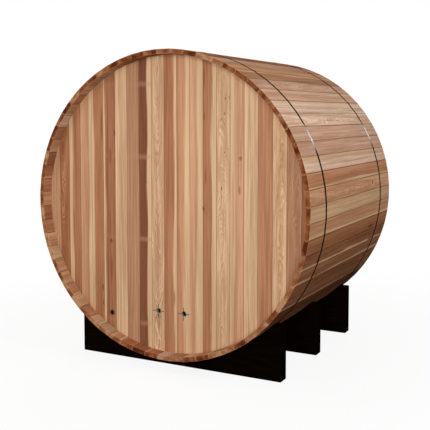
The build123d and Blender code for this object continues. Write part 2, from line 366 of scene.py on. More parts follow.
def late_wood(f):
    """Dark end of each year's ring: it rises slowly, stops at once, and is stronger in some years."""
    growth, year = f.math("FRACT", f.rings), f.math("FLOOR", f.rings)
    late = f.times(f.ease(growth, 0.2, 0.85), f.ease(growth, 0.85, 1.0, 1.0, 0.0))
    vigour = f.node("ShaderNodeTexWhiteNoise", {"W": year}, noise_dimensions="1D").outputs["Value"]
    return f.times(late, f.math("MULTIPLY_ADD", vigour, 0.9, 0.4))


def dry_years(f):
    """Groups of dark years. The strength of the figure sets which years, so that planks differ."""
    era = f.node("ShaderNodeCombineXYZ", {"X": f.rings, "Y": f.times(f.figure, 90.0)})
    return f.ease(f.noise(era.outputs[0], 0.3, 1.0), 0.45, 0.65)


def planed_side(f, late):
    """Colour along a plank: heartwood with pitch, dry years and late wood, and pale sapwood."""
    stripe = f.math("MULTIPLY_ADD", f.streak, 0.4, f.times(f.broad, 0.4))
    stripe = f.ease(f.math("MULTIPLY_ADD", f.hair, 0.2, stripe), 0.36, 0.64)
    dark, light = f.tinted(f.tone, (0.80, 0.74, 0.70)), f.tinted(f.tone, (1.30, 1.34, 1.36))
    deep = f.tinted(f.tone, (0.66, 0.52, 0.42))
    pitch = f.ease(f.fibre(0.018, 60.0, 3.0), 0.58, 0.72, 0.0, 0.6)
    heart = f.mix(pitch, f.mix(stripe, dark, light), deep)
    heart = f.mix(f.times(dry_years(f), f.figure, 0.5), heart, deep)
    heart = f.mix(f.times(late, f.figure), heart, deep)
    pale = f.mix(stripe, opaque(sapwood * (0.88, 0.84, 0.80)), opaque(sapwood * (1.12, 1.14, 1.16)))
    pale = f.mix(f.times(late, 0.45), pale, opaque(sapwood * (0.72, 0.60, 0.48)))
    edge = f.waved(f.waved(f.sap_way, f.drift, 30 * millimetre), f.streak, 20 * millimetre)
    return f.mix(f.ease(edge, -8 * millimetre, 8 * millimetre), heart, pale)


print("sapwood in linear light", sapwood.round(3))

# %% Strip marks, stains and pencil lines
strip_pale, stain_brown, pencil_grey = shade(186, 132, 100), shade(122, 66, 38), shade(58, 48, 40)
strip_core, strip_reach = 1 * millimetre, 24 * millimetre
pencil_width = 1.5 * millimetre


def strip_marks(f, colour, heights):
    """Pale bands at the heights where the wet boards lay on stacking strips."""
    waved = f.waved(f.split(f.place)[2], f.streak, 12 * millimetre)
    band = 0.0
    for height in heights:
        near = f.ease(f.apart(waved, height), strip_core, strip_reach, 1.0, 0.0)
        band = f.math("ADD", near, band)
    return f.mix(f.times(band, f.sticker, 0.38), colour, opaque(strip_pale))


def stained(f, colour, stains):
    """Brown spots, frayed along the grain."""
    way = f.waved(f.nearest(f.place, stains), f.streak, 0.8)
    return f.mix(f.ease(way, 0.3, 1.2, 0.65, 0.0), colour, opaque(stain_brown))


def pencil_lines(f, colour):
    """A level and an upright pencil line through a hole's middle, as far as the hole's mark says."""
    right, up, reach = f.split(f.mark("hole", "Vector"))
    right, up = f.math("ABSOLUTE", right), f.math("ABSOLUTE", up)
    stroke = f.ease(f.math("MINIMUM", right, up), pencil_width, 2.2 * pencil_width, 0.95, 0.0)
    to_go = f.math("SUBTRACT", reach, f.math("MAXIMUM", right, up))
    stroke = f.times(stroke, f.ease(to_go, 0.0, 4 * millimetre))
    return f.mix(stroke, colour, opaque(pencil_grey))


print("pencil lines", 2 * pencil_width, "metres wide")

# %% Joints and end grain
half_board = 43 * millimetre
joint_brown, end_pale = shade(70, 36, 20), shade(196, 150, 108)
end_place = {"p": 0.1, "t": 0.28, "b": 0.46, "m": 0.64, "d": 0.82, "v": 1.0}
end_shades = {
    "p": shade(184, 140, 103), "t": shade(161, 114, 79), "b": shade(150, 95, 60),
    "m": shade(136, 79, 45), "d": shade(120, 63, 34), "v": shade(86, 40, 20),
}


def jointed(f, colour, edge_way, width, depth):
    """A dark line along a plank's edges, weaker in places."""
    seam = f.ease(edge_way, 0.4 * width, width, depth, 0.0)
    seam = f.times(seam, f.ease(f.broad, 0.35, 0.65, 0.35, 1.0))
    return f.mix(seam, colour, opaque(joint_brown))


def end_grain(f, late, edge_way):
    """Colour of a sawn end: blotches about the end's own shade, arcs of late wood and a pale edge."""
    blotched = f.waved(f.end, f.noise(f.wood, 18.0, 3.0), 2.0)
    colour = f.ramp(blotched, [(end_place[letter], end_shades[letter]) for letter in end_place])
    colour = f.mix(f.times(late, 0.7), colour, f.tinted(colour, (0.55, 0.43, 0.35)))
    pale = f.ease(edge_way, 0.8 * millimetre, 2.2 * millimetre, 0.5, 0.0)
    return f.mix(pale, colour, opaque(end_pale))


print("end grain", len(end_shades), "shades")

# %% A finish for all cedar
knot_brown = shade(104, 52, 28)


def cedar_finish(name, joint, gloss, knots=(), stains=(), pencil=False, stickers=()):
    """Planed cedar, with its marks laid over the plain wood one after the other.

    joint is the width of the dark line along a plank's edges and how dark it is. Knots and stains
    are spots on the object, each a centre and half lengths.
    """
    f = Cedar(name, knots)
    late = late_wood(f)
    colour = planed_side(f, late)
    if stickers:
        colour = strip_marks(f, colour, stickers)
    if stains:
        colour = stained(f, colour, stains)
    if knots:
        colour = f.mix(f.ease(f.knot_way, 0.3, 1.4, 0.8, 0.0), colour, opaque(knot_brown))
    if pencil:
        colour = pencil_lines(f, colour)
    edge_way = f.times(f.math("SUBTRACT", 1.0, f.math("ABSOLUTE", f.across)), half_board)
    colour = jointed(f, colour, edge_way, *joint)
    sawn = f.math("GREATER_THAN", f.end, 0.01)
    f.shader("Base Color", f.mix(sawn, colour, end_grain(f, late, edge_way)))
    f.shader("Roughness", f.math("MULTIPLY_ADD", f.hair, 0.25, 0.5))
    f.shader("Specular IOR Level", gloss)
    f.bump(f.math("MULTIPLY_ADD", late, 0.6, f.times(f.hair, 0.6)), 0.25, 0.4 * millimetre)
    return f.owner


# %% Knots and stains in their places
board_stickers = (1.6755, 1.248, 0.7575, 0.249)


def wall_spot(x, z, half_width, half_height):
    """A spot on the rear wall, by its place in metres and its half sizes in millimetres."""
    return (x, wall_y, z), (half_width * millimetre, 1.0, half_height * millimetre)


def round_barrel(radius, side, angle):
    """X and Z of a point on the flat at an angle, by its distance from the axis and its way along."""
    x = radius * np.cos(angle) - side * np.sin(angle)
    return x, axis_height + radius * np.sin(angle) + side * np.cos(angle)


def stave_spot(angle, y, half_width, half_length):
    """A spot on the barrel's outside, by its angle in degrees and its place along the barrel."""
    x, z = round_barrel(barrel_radius, 0.0, np.radians(angle))
    return (x, y, z), (half_width * millimetre, half_length * millimetre, half_width * millimetre)


rear_knots = [
    wall_spot(0.362, 1.586, 5, 8), wall_spot(0.386, 1.591, 4, 7), wall_spot(0.356, 1.503, 4, 8),
    wall_spot(0.357, 1.285, 4, 9), wall_spot(0.338, 1.082, 4, 12), wall_spot(0.223, 0.962, 7, 14),
    wall_spot(-0.386, 1.389, 7, 22), wall_spot(-0.480, 0.437, 7, 26), wall_spot(-0.415, 0.731, 9, 15),
    wall_spot(-0.478, 0.341, 5, 14), wall_spot(-0.165, 1.10, 4, 9),
]
rear_stains = [
    wall_spot(-0.480, 1.43, 8, 130), wall_spot(-0.418, 1.25, 14, 70), wall_spot(-0.414, 0.56, 11, 90),
    wall_spot(0.228, 1.70, 9, 90), wall_spot(0.230, 1.486, 6, 30), wall_spot(0.236, 1.146, 7, 55),
    wall_spot(0.456, 1.254, 12, 14), wall_spot(0.450, 1.076, 8, 30), wall_spot(0.03, 0.42, 6, 60),
]
stave_knots = [
    stave_spot(5.6, 0.373, 10, 17), stave_spot(-12.7, 0.40, 13, 52), stave_spot(-18.9, 0.47, 13, 56),
    stave_spot(-18.0, -0.53, 8, 22), stave_spot(-24.6, -0.45, 8, 16),
    stave_spot(100.0, 0.2, 7, 12), stave_spot(152.0, -0.3, 8, 13), stave_spot(175.0, 0.35, 6, 10),
    stave_spot(128.0, 0.45, 7, 12), stave_spot(198.0, -0.1, 7, 11),
]
print("knots", len(rear_knots) + len(stave_knots), "stains", len(rear_stains))

# %% Cedar of staves and boards
joint_width = 1.5 * millimetre
stave_joint, board_joint = (joint_width, 0.65), (joint_width, 0.5)
board_gloss = 0.08
stave_cedar = cedar_finish("stave_cedar", stave_joint, gloss=0.0, knots=stave_knots)
board_cedar = cedar_finish("board_cedar", board_joint, board_gloss)
rear_board_cedar = cedar_finish(
    "rear_board_cedar", board_joint, board_gloss,
    knots=rear_knots, stains=rear_stains, pencil=True, stickers=board_stickers,
)
print("cedar finishes", stave_cedar.name, board_cedar.name, rear_board_cedar.name)

# %% [markdown]
# ## One log for each plank
# The heartwood runs from straw to dark red-brown from plank to plank, which is what gives the barrel
# its striped look. A letter names each plank's tone and another its cut, so the pattern of the real
# walls can be read in a line. The pith's place is drawn at random, with a fixed seed.

# %% Tones of the heartwood
tones = {
    "s": shade(200, 165, 130),
    "l": shade(192, 147, 114),
    "g": shade(207, 176, 153),
    "h": shade(213, 184, 163),
    "k": shade(192, 155, 132),
    "y": shade(193, 159, 125),
    "r": shade(177, 127, 95),
    "o": shade(174, 114, 78),
    "b": shade(161, 111, 79),
    "t": shade(168, 126, 96),
    "u": shade(144, 96, 67),
    "w": shade(122, 76, 52),
}
print("heartwood", len(tones), "tones")


# %% Logs and their marks
def plank_logs(letters, cuts, saps, seed, stickers=None):
    """Where each plank lay in its log.

    A flat plank, letter f, lies over the pith, and its log leans, so that its rings come up as
    arches. A straight one, letter q, lies well beside the pith. saps gives the share of the width
    that is sapwood, on the right if it is more than zero and on the left if it is less.
    """
    draw = np.random.default_rng(seed)
    count = len(letters)
    flat = np.array([cut == "f" for cut in cuts])
    side = draw.choice((-1.0, 1.0), count)
    lean = draw.choice((-1.0, 1.0), count)
    beside = side * draw.uniform(0.10, 0.24, count)
    colour = np.array([tones[letter] for letter in letters])
    strength = np.where(flat, 0.7, draw.uniform(0.3, 0.6, count))
    return {
        "tone": np.column_stack([colour * draw.uniform(0.96, 1.04, (count, 1)), strength]),
        "pith_across": np.where(flat, draw.uniform(-0.012, 0.012, count), beside),
        "pith_depth": np.where(flat, draw.uniform(0.05, 0.08, count), draw.uniform(0.03, 0.10, count)),
        "tilt": lean * np.where(
            flat, draw.uniform(0.025, 0.045, count), draw.uniform(0.0, 0.006, count)
        ),
        "shift": draw.uniform(0.0, 40.0, count),
        "sap": np.array(saps, float),
        "sticker": np.zeros(count) if stickers is None else np.array(stickers, float),
    }


def log_marks(across, depth, along, width, log, edge=None):
    """Marks of every point of some planks, from its place in its plank, in arrays (planks, ., .).

    edge runs from -1 to 1 between the plank's two edges, and is worked out from across if not given.
    """
    per = {name: value[:, None, None] for name, value in log.items()}
    from_pith = np.broadcast_arrays(
        across - per["pith_across"],
        depth + per["pith_depth"] + per["tilt"] * along,
        along + per["shift"],
    )
    share = per["sap"]
    sap_way = np.where(share == 0, -1.0, np.sign(share) * across - width * (0.5 - np.abs(share)))
    zero = np.zeros_like(across)
    edge = 2 * across / width if edge is None else edge
    return {
        "wood": np.stack(from_pith, -1).reshape(-1, 3),
        "tone": np.broadcast_to(per["tone"], across.shape + (4,)).reshape(-1, 4),
        "marks": np.stack([sap_way, zero + per["sticker"], zero + edge], -1).reshape(-1, 3),
    }


def two_edges(around):
    """Edge marks of a ring: 1 on the half that runs down one edge, and -1 on the other half."""
    return np.where(np.arange(around) < around // 2, 1.0, -1.0)


def pick(log, chosen):
    """The logs of some of the planks."""
    return {name: value[chosen] for name, value in log.items()}


print("edge marks of an eight-point ring", two_edges(8))


# %% [markdown]
# ## Staves
# Sixty-four staves make the barrel. Each has a rounded bead on one edge and a cove on the other, so
# that it seats in its neighbour at any angle, and a groove near both ends, the croze, that holds the
# rim of the end wall. The section is a curve in the stave's own plane: an eased arris, a flat
# shoulder, the arc of the bead, and the same back to the inside. Carrying it along the barrel through
# a few stations is enough, because at the groove two of them have a section that ends at its floor.

# %% One edge of a stave
stave_thickness = 28 * millimetre
stave_gap = 0.5 * millimetre
arris = 1.6 * millimetre
bead_shoulder = 4 * millimetre
bead_rise = 5 * millimetre
bead_points = 11
inner_radius = barrel_radius - stave_thickness
middle_radius = (barrel_radius + inner_radius) / 2
stave_width = 2 * barrel_radius * np.tan(stave_step / 2)


def stave_edge():
    """Radius, and inset from the edge plane, of points down one edge, from the outside to the inside.

    The bead's arc spans all but the two shoulders, and its radius is (h^2 + s^2) / 2s for a half
    span h and a rise s. It is given as a bulge beyond the edge plane.
    """
    turn = np.radians((0, 45, 90))
    corner = arris * (1 - np.sin(turn)), arris * (1 - np.cos(turn))
    half = stave_thickness / 2 - bead_shoulder
    arc_radius = (half**2 + bead_rise**2) / (2 * bead_rise)
    swing = np.arcsin(half / arc_radius) * np.linspace(1, -1, bead_points)
    arc = middle_radius + arc_radius * np.sin(swing)
    bulge = arc_radius * np.cos(swing) - (arc_radius - bead_rise)
    top = barrel_radius - corner[1]
    foot = inner_radius + corner[1]
    radius = np.concatenate([top, arc, foot[::-1]])
    inset = np.concatenate([corner[0], 0 * arc, corner[0][::-1]])
    beads = np.concatenate([0 * top, bulge, 0 * foot])
    return radius, inset, beads


print("staves", stave_width, "metres wide, with", bead_points, "points on the bead")

# %% Stave sections
croze_depth = 10 * millimetre
croze_side = 0.4 * millimetre
croze_slope = 0.3 * millimetre
end_ease = 1.0 * millimetre
squeeze = 0.02


def stave_ring(groove, ease):
    """Ring of radius and sideways place, drawn in by an ease.

    In the groove, the points further in than its floor are squeezed together just under it.
    """
    radius, inset, beads = stave_edge()
    floor = inner_radius + croze_depth
    if groove:
        radius = np.where(radius < floor, floor - squeeze * (floor - radius), radius)
        beads = np.interp(-radius, -stave_edge()[0], beads)
    half = radius * np.tan(stave_step / 2) - stave_gap / 2 - inset
    side = np.concatenate([half - beads, (-half - beads)[::-1]])
    radius = np.concatenate([radius, radius[::-1]])
    shrink_radius = 1 - 2 * ease / stave_thickness
    shrink_side = 1 - 2 * ease / stave_width
    return middle_radius + (radius - middle_radius) * shrink_radius, side * shrink_side


croze_y = (wall_y - croze_side, wall_back_y + croze_side)
stations = [
    (rear_y, False, end_ease), (rear_y + end_ease, False, 0.0),
    (croze_y[0] - croze_slope, False, 0.0), (croze_y[0], True, 0.0),
    (croze_y[1], True, 0.0), (croze_y[1] + croze_slope, False, 0.0),
]
stations += [(-y, groove, ease) for y, groove, ease in reversed(stations)]
section = np.array([stave_ring(groove, ease) for _, groove, ease in stations])
section_y = np.array([y for y, _, _ in stations])
print("stave section", section.shape[2], "points at", len(stations), "stations")

# %% Staves in their places
# Staves 3 to 8, high on the right, have pale pinkish-grey tones that are partly painted sheen, as the
# staves' finish has no gloss. Staves 20 to 23, whose inside faces lie in shade by the upper left rim,
# have pale tones that lift that shade: partly painted light.
stave_tones = (
    "ylrgkkghkk" "tlkblulbrb" "lsksrygrlu" "brlbrlsllr" "srsylobokr" "srrrsruwbu" "bubl"
)
stave_cuts = (
    "qfqqqqfqqf" "qqqfqqfqqf" "qqfqqqqfqq" "qqfqqqfqqq" "qfqqfqqqqf" "qqfqqqqqqf" "qfqq"
)
stave_saps = (
    "..-+...++." "+...+.+..." ".+.+.+..+." "+....-...+" "....+..-.." ".+......-." "--.-"
)
end_tones = (
    "mbdmddmbmd" "dmppdbbmdd" "dtmmtvmvdt" "dmbtbppbbb" "pdpbbmvdpb" "ddptmttmpt" "bbdm"
)
sap_share = {".": 0.0, "+": 0.16, "-": -0.16}
figure_gain, figure_limit = 1.4, 0.65
stave_logs = plank_logs(
    stave_tones, stave_cuts, [sap_share[letter] for letter in stave_saps], seed=3
)
stave_logs["tone"][:, 3] = np.minimum(figure_gain * stave_logs["tone"][:, 3], figure_limit)
stave_ends = np.array([end_place[letter] for letter in end_tones])
stave_nodes = (
    "right_staves", "upper_right_staves", "roof_staves", "upper_left_staves",
    "left_staves", "lower_left_staves", "floor_staves", "lower_right_staves",
)
first_stave, group_size = 60, 8


def stave_batch(numbers):
    """Staves of the given numbers: the section turned to each one's angle about the axis."""
    radius, side, y, angle = np.broadcast_arrays(
        section[:, 0], section[:, 1], section_y[:, None], (numbers * stave_step)[:, None, None]
    )
    x, z = round_barrel(radius, side, angle)
    points, quads, owner = closed_planks(np.stack([x, y, z], -1))
    edge = two_edges(side.shape[2])
    marks = log_marks(side, radius - barrel_radius, y, stave_width, pick(stave_logs, numbers), edge)
    marks["end"] = np.where(owner < 0, 0.0, stave_ends[numbers][owner])
    return points, quads, marks


for group, node in enumerate(stave_nodes):
    numbers = (first_stave + group * group_size + np.arange(group_size)) % stave_count
    add_piece(f"cedar_{node}", [stave_batch(numbers)], stave_cedar, [node])

# %% [markdown]
# ## Rear wall
# The end wall is upright boards, tongued and grooved, cut to a circle that sits in the croze. A board
# is its edge section carried up the wall, and where its ends meet the circle each point of the
# section stops at its own height, so the cut follows the rim. The two boards at the sides have the
# rim itself as their outer edge.

# %% Board sections
board_pitch = 86 * millimetre
board_gap = 0.4 * millimetre
narrowest_board = 30 * millimetre
rear_joint_x = -39 * millimetre
board_arris = 1.1 * millimetre
groove_depth = 7 * millimetre
tongue_play = 1 * millimetre
tongue_half = 4.5 * millimetre
tongue_taper = 0.3 * millimetre
rim_slack = 0.2 * millimetre
rim_radius = wall_radius - rim_slack


def edge_section(thickness):
    """Depth, arris inset, groove and tongue of points from the face of a board to its back."""
    middle = thickness / 2
    a = board_arris
    root = middle - tongue_half
    depth = np.array((0, 0.3 * a, a, root, root + tongue_taper))
    depth = np.concatenate([depth, thickness - depth[::-1]])
    inset = np.array((a, 0.3 * a, 0, 0, 0, 0, 0, 0, 0.3 * a, a))
    inner = np.array((0, 0, 0, 0, 1, 1, 0, 0, 0, 0))
    return depth, inset, inner * groove_depth, inner * (groove_depth - tongue_play)


def rim_height(x):
    """Half height of the circular wall at x."""
    return np.sqrt(np.maximum(rim_radius**2 - x**2, 0.0))


def rim_foot(x):
    """Lower edge of the circular wall at x, from the axis."""
    return -rim_height(x)


print("board section", len(edge_section(wall_thickness)[0]), "points on each edge")

# %% Boards side by side
rim_blunt = 0.96
board_stations = 13
board_end = end_place["b"]


def board_batch(joints, foot, head, face_y, inward, log, plain=False):
    """Boards between joints, from foot(x) to head(x) about the axis, with a face at face_y.

    inward is +1 or -1, the way along Y from the face into the wall. A board whose outer joint is on
    the rim follows the circle there instead of a straight edge. With plain, the first and the last
    edge have no groove and no tongue.
    """
    left, right = joints[:-1] + board_gap / 2, joints[1:] - board_gap / 2
    step = np.linspace(0, 1, board_stations)
    x_left, x_right = left[:, None] + 0 * step, right[:, None] + 0 * step
    z_left = foot(left)[:, None] * (1 - step) + head(left)[:, None] * step
    z_right = foot(right)[:, None] * (1 - step) + head(right)[:, None] * step
    groove, tongue = np.ones((2, len(left)))
    if plain:
        groove[0], tongue[-1] = 0, 0
    if joints[0] <= -rim_radius:
        z_left[0] = z_right[0] * rim_blunt
        x_left[0] = -rim_height(z_left[0])
        groove[0] = 0
    if joints[-1] >= rim_radius:
        z_right[-1] = z_left[-1] * rim_blunt
        x_right[-1] = rim_height(z_right[-1])
        tongue[-1] = 0
    depth, inset, groove_reach, tongue_reach = edge_section(wall_thickness)
    left_x = x_left[..., None] + inset + groove[:, None, None] * groove_reach
    right_x = x_right[..., None] - inset + tongue[:, None, None] * tongue_reach
    x = np.concatenate([left_x, right_x[..., ::-1]], -1)
    z = np.concatenate([z_left[..., None] + 0 * inset, z_right[..., None] + 0 * inset], -1)
    y = np.broadcast_to(np.concatenate([depth, depth[::-1]]), x.shape)
    points, quads, owner = closed_planks(np.stack([x, face_y + inward * y, axis_height + z], -1))
    middle = ((left + right) / 2)[:, None, None]
    marks = log_marks(x - middle, y, z, board_pitch, log, two_edges(x.shape[2]))
    marks["end"] = np.where(owner < 0, 0.0, board_end)
    return points, quads, marks


print("boards are carried up in", board_stations - 1, "steps")

# %% [markdown]
# ## Boards with holes
# Three boards of the rear wall are bored for cables. Cutting the holes with a boolean would leave long
# thin faces, so such a board is worked out as one band round its hole: along each ray a section runs
# across the face to the board's edge, over the edge to the back, and home through the bore.

# %% Bored boards
ray_step = 7.5
bore_ease = 0.5 * millimetre
tolerance = 0.001 * millimetre
rim_rounds = 3


def bored_batch(left, right, hole_x, hole_z, hole_radius, log, reach):
    """One board of the rear wall with a round hole, closed both ways.

    Rays from the hole's middle, spread evenly and one through each corner of the board, meet its
    outline once each, so no face between the hole and the outline is folded.
    """
    left, right = left + board_gap / 2, right - board_gap / 2
    corner_x = np.array((right, right, left, left))
    corner_z = rim_height(corner_x) * (-1, 1, 1, -1)
    even = np.radians(np.arange(ray_step / 2 - 180.0, 180.0, ray_step))
    turn = np.sort(np.concatenate([even, np.arctan2(corner_z - hole_z, corner_x - hole_x)]))
    run, rise = np.cos(turn), np.sin(turn)
    side_x = np.where(run > 0, right, left)
    side_z = hole_z + (side_x - hole_x) * rise / run
    beyond = np.abs(side_z) > rim_height(side_x) + tolerance
    # A ray that leaves through the rim is followed to the rim's height at the last guess. The rim is
    # nearly level over one board, so a few rounds settle on the circle.
    end_x = hole_x
    for _ in range(rim_rounds):
        end_x = hole_x + (np.sign(rise) * rim_height(end_x) - hole_z) * run / rise
    edge_x = np.where(beyond, end_x, side_x)
    edge_z = np.where(beyond, np.sign(rise) * rim_height(end_x), side_z)
    on_right = (~beyond & (run > 0)).astype(float)[:, None]
    on_left = (~beyond & (run < 0)).astype(float)[:, None]
    turn = turn[:, None]
    depth, inset, groove, tongue = edge_section(wall_thickness)
    x = edge_x[:, None] + on_right * (tongue - inset) + on_left * (inset + groove)
    z = edge_z[:, None] + 0 * inset
    bore = hole_radius + np.array((bore_ease, 0.0, 0.0, bore_ease))
    bore_depth = np.array((wall_thickness, wall_thickness - bore_ease, bore_ease, 0.0))
    x = np.concatenate([x, hole_x + bore * np.cos(turn)], 1)
    z = np.concatenate([z, hole_z + bore * np.sin(turn)], 1)
    y = np.broadcast_to(np.concatenate([depth, bore_depth]), x.shape)
    points = np.stack([x, wall_y + y, axis_height + z], -1).reshape(-1, 3)
    quads = facing_out(points, loop_faces(x.shape))
    middle = (left + right) / 2
    marks = log_marks((x - middle)[None], y[None], z[None], board_pitch, log)
    marks["end"] = np.zeros(len(quads))
    marks["hole"] = np.stack([x - hole_x, z - hole_z, reach + 0 * x], -1).reshape(-1, 3)
    return points, quads, marks


print("a bored board has a ray every", ray_step, "degrees")


# %% Boards of the rear wall
steps_right = int((wall_radius - narrowest_board - rear_joint_x) / board_pitch)
steps_left = int((wall_radius - narrowest_board + rear_joint_x) / board_pitch)
inner_joints = rear_joint_x + board_pitch * np.arange(-steps_left, steps_right + 1)
rear_joints = np.concatenate([[-wall_radius], inner_joints, [wall_radius]])
# The last board, beside the right rim, has the dark tone u: partly painted shade of the rim.
rear_tones = "lbblbustwsbrlbslsrstu"
rear_cuts = "qfqqqqqqqfqqqqfqqqffq"
rear_saps = (
    0, -0.12, -0.33, 0.25, -0.2, -0.16, 0, 0, 0.34, 0, 0.22,
    0.42, 0.45, 0.35, 0, -0.22, 0, 0, 0, 0, 0,
)
rear_stickers = (0, 0, 0, 0, 0, 0.35, 0, 0.45, 1.0, 0, 0, 0, 0, 0, 0, 0, 0, 0, 0, 0, 0)
strong_figure = {1: 1.1, 9: 0.85}
rear_logs = plank_logs(rear_tones, rear_cuts, rear_saps, seed=11, stickers=rear_stickers)
rear_logs["tone"][list(strong_figure), 3] = list(strong_figure.values())
print("rear wall", len(rear_joints) - 1, "boards")


# %% Holes in the rear wall
def middle_of(low_high):
    """Middle of a box."""
    return (low_high[0] + low_high[1]) / 2


sleeve_low, sleeve_high = corners("cable_sleeves")
sleeve_radius = (sleeve_high[2] - sleeve_low[2]) / 2
grommet_neck = 11 * millimetre
hole_slack = 0.2 * millimetre
pencil_reach = sleeve_radius + 21 * millimetre


def bore_places():
    """X, height from the axis, radius and reach of the pencil lines of each hole in the wall."""
    z = middle_of((sleeve_low, sleeve_high))[2] - axis_height
    sleeve_x = sleeve_low[0] + sleeve_radius, sleeve_high[0] - sleeve_radius
    sleeves = [(x, z, sleeve_radius + hole_slack, pencil_reach) for x in sleeve_x]
    grommet = middle_of(corners("cable_grommet"))
    return sleeves + [(grommet[0], grommet[2] - axis_height, grommet_neck + hole_slack, 0.0)]


holes = bore_places()
print("holes at", [(round(float(x), 3), round(float(z), 3)) for x, z, _, _ in holes])

# %% Rear wall in its place
batches = []
bored = []
for hole_x, hole_z, hole_radius, reach in holes:
    board = int(np.searchsorted(rear_joints, hole_x)) - 1
    bored.append(board)
    edges = rear_joints[board], rear_joints[board + 1]
    batches.append(bored_batch(*edges, hole_x, hole_z, hole_radius, pick(rear_logs, [board]), reach))
whole = board_batch(rear_joints, rim_foot, rim_height, wall_y, 1, rear_logs)


def without(batch, count, left_out):
    """A batch of like planks, less some of them."""
    points, quads, marks = batch
    keep_point = np.repeat(~np.isin(np.arange(count), left_out), len(points) // count)
    renumber = np.cumsum(keep_point) - 1
    keep_face = keep_point[quads[:, 0]]
    marks = {
        name: values[keep_face if name == "end" else keep_point] for name, values in marks.items()
    }
    return points[keep_point], renumber[quads[keep_face]], marks


whole = without(whole, len(rear_tones), bored)
whole[2]["hole"] = np.tile((1.0, 1.0, 0.0), (len(whole[0]), 1))
add_piece("cedar_rear_wall", batches + [whole], rear_board_cedar, ["rear_wall"])

# %% [markdown]
# ## Cradles
# Three planks on edge, stained black, carry the barrel in a saddle cut to its staves. A cradle is an
# upright section carried from one horn to the other, whose top follows the staves' flats in between,
# so its stations stand at the corners of the polygon. The arrises are eased, as a planed plank's are,
# and the front cradle has a shallow groove along its top, where the front band passes.

# %% Black stain
def black_stain():
    """Softwood stained black: a hint of brown grain, worn a little along the fibres."""
    f = Finish(bpy.data.materials.new("black_stain"))
    place = f.object_place()
    grain = f.noise(place, 5.0, 4.0, (1.2, 18.0, 18.0))
    fine = f.noise(place, 9.0, 3.0, (3.0, 60.0, 60.0))
    black, worn = opaque(shade(7, 3, 1)), opaque(shade(14, 8, 4))
    f.shader("Base Color", f.mix(f.ease(grain, 0.35, 0.75), black, worn))
    f.shader("Roughness", f.math("MULTIPLY_ADD", fine, 0.2, 0.5))
    f.shader("Specular IOR Level", 0.0)
    f.bump(f.math("ADD", grain, fine), 0.2, 0.6 * millimetre)
    return f.owner


cradle_black = black_stain()
print(cradle_black.name)

# %% Cradles in their places
cradle_arris = 3 * millimetre
saddle_clearance = 0.3 * millimetre
band_relief = 1.4 * millimetre
band_half = 10 * millimetre
groove_slope = 0.3 * millimetre
saddle_staves = 16
front_band_y = middle_of(corners("front_band"))[1]


def cradle_batch(node):
    """A cradle: at stations across the barrel, the foot from rear to front, and the top back."""
    low, high = corners(node)
    saddle = barrel_radius + saddle_clearance
    flat_corner = saddle / np.cos(stave_step / 2)
    hug_x = np.sqrt(saddle**2 - (axis_height - high[2]) ** 2)
    turns = stave_step * (np.arange(saddle_staves) - saddle_staves / 2 + 0.5)
    saddle_x = flat_corner * np.sin(turns)
    saddle_z = axis_height - flat_corner * np.cos(turns)
    e = cradle_arris
    x = np.concatenate([[low[0], low[0] + e, -hug_x], saddle_x, [hug_x, high[0] - e, high[0]]])
    top = np.concatenate([[high[2]] * 3, saddle_z, [high[2]] * 3])
    ease = np.zeros(len(x))
    ease[[0, -1]] = e
    foot, head = low[2] + ease, top - ease
    near, far = low[1] + ease, high[1] - ease
    lower = [(near, foot + e), (near + e, foot), (far - e, foot), (far, foot + e)]
    upper = [(near, head - e), (near + e, head), (far - e, head), (far, head - e)]
    if low[1] < front_band_y < high[1]:
        half = band_half + band_relief / 2
        ways = (-half - groove_slope, -half, half, half + groove_slope)
        cut_y = [front_band_y + way + 0 * x for way in ways]
        cut_z = [head, head - band_relief, head - band_relief, head]
        lower[2:2] = [(y, foot) for y in cut_y]
        upper[2:2] = list(zip(cut_y, cut_z))
    outline = lower + upper[::-1]
    y = np.stack([point[0] for point in outline], -1)
    z = np.stack([point[1] for point in outline], -1)
    return capped(np.stack([np.broadcast_to(x[:, None], y.shape), y, z], -1))


for node in ("rear_cradle", "middle_cradle", "front_cradle"):
    add_piece(f"black_{node}", [cradle_batch(node)], cradle_black, [node])

# %% [markdown]
# ## Bands
# Two narrow steel straps hold the staves together. Each lies on the flats of the staves, so its path
# is the same polygon, and at its clamp on the lower left both ends turn outwards as lugs for a bolt.
# The strap's inside and outside are two such paths, joined into one section with eased edges. The
# steel is black oxide, with a painted glint: it is bright steel only at one height on each side,
# where it mirrors the white around it.

# %% Steel finishes
oxide_and_painted_shade = shade(26, 20, 16)


def steel_finish(name, base, roughness, stretch, metal=1.0, painted_light_zone=None):
    """Drawn steel: metal with fine scratches along it and a slightly uneven polish.

    With a painted light zone, given as an axis, a place along it and two ways from there, it is
    bright steel within the first way and dull black beyond the second. The bright part is a painted
    glint on the bands; the black is oxide on the bands and painted shade deep in the sleeves.
    """
    f = Finish(bpy.data.materials.new(name))
    place = f.object_place()
    cloud = f.noise(place, 9.0, 3.0)
    scratch = f.noise(place, 30.0, 4.0, stretch)
    dull = [0.72 * value for value in base]
    colour = f.mix(f.ease(cloud, 0.3, 0.7), opaque(dull), opaque(base))
    # Painted light: bright steel within the zone paints a glint, and the black beyond it paints shade
    # deep in a bore.
    if painted_light_zone:
        axis, middle, near, far = painted_light_zone
        way = f.math("MULTIPLY_ADD", cloud, 20 * millimetre, f.apart(f.split(place)[axis], middle))
        bright = f.ease(way, near, far, 1.0, 0.0)
        colour = f.mix(bright, opaque(oxide_and_painted_shade), colour)
        metal = f.times(bright, metal)
        f.shader("Specular IOR Level", 0.0)
    f.shader("Base Color", colour)
    f.shader("Metallic", metal)
    f.shader("Roughness", f.math("MULTIPLY_ADD", scratch, 0.16, roughness - 0.08))
    f.bump(scratch, 0.08, 0.1 * millimetre)
    return f.owner


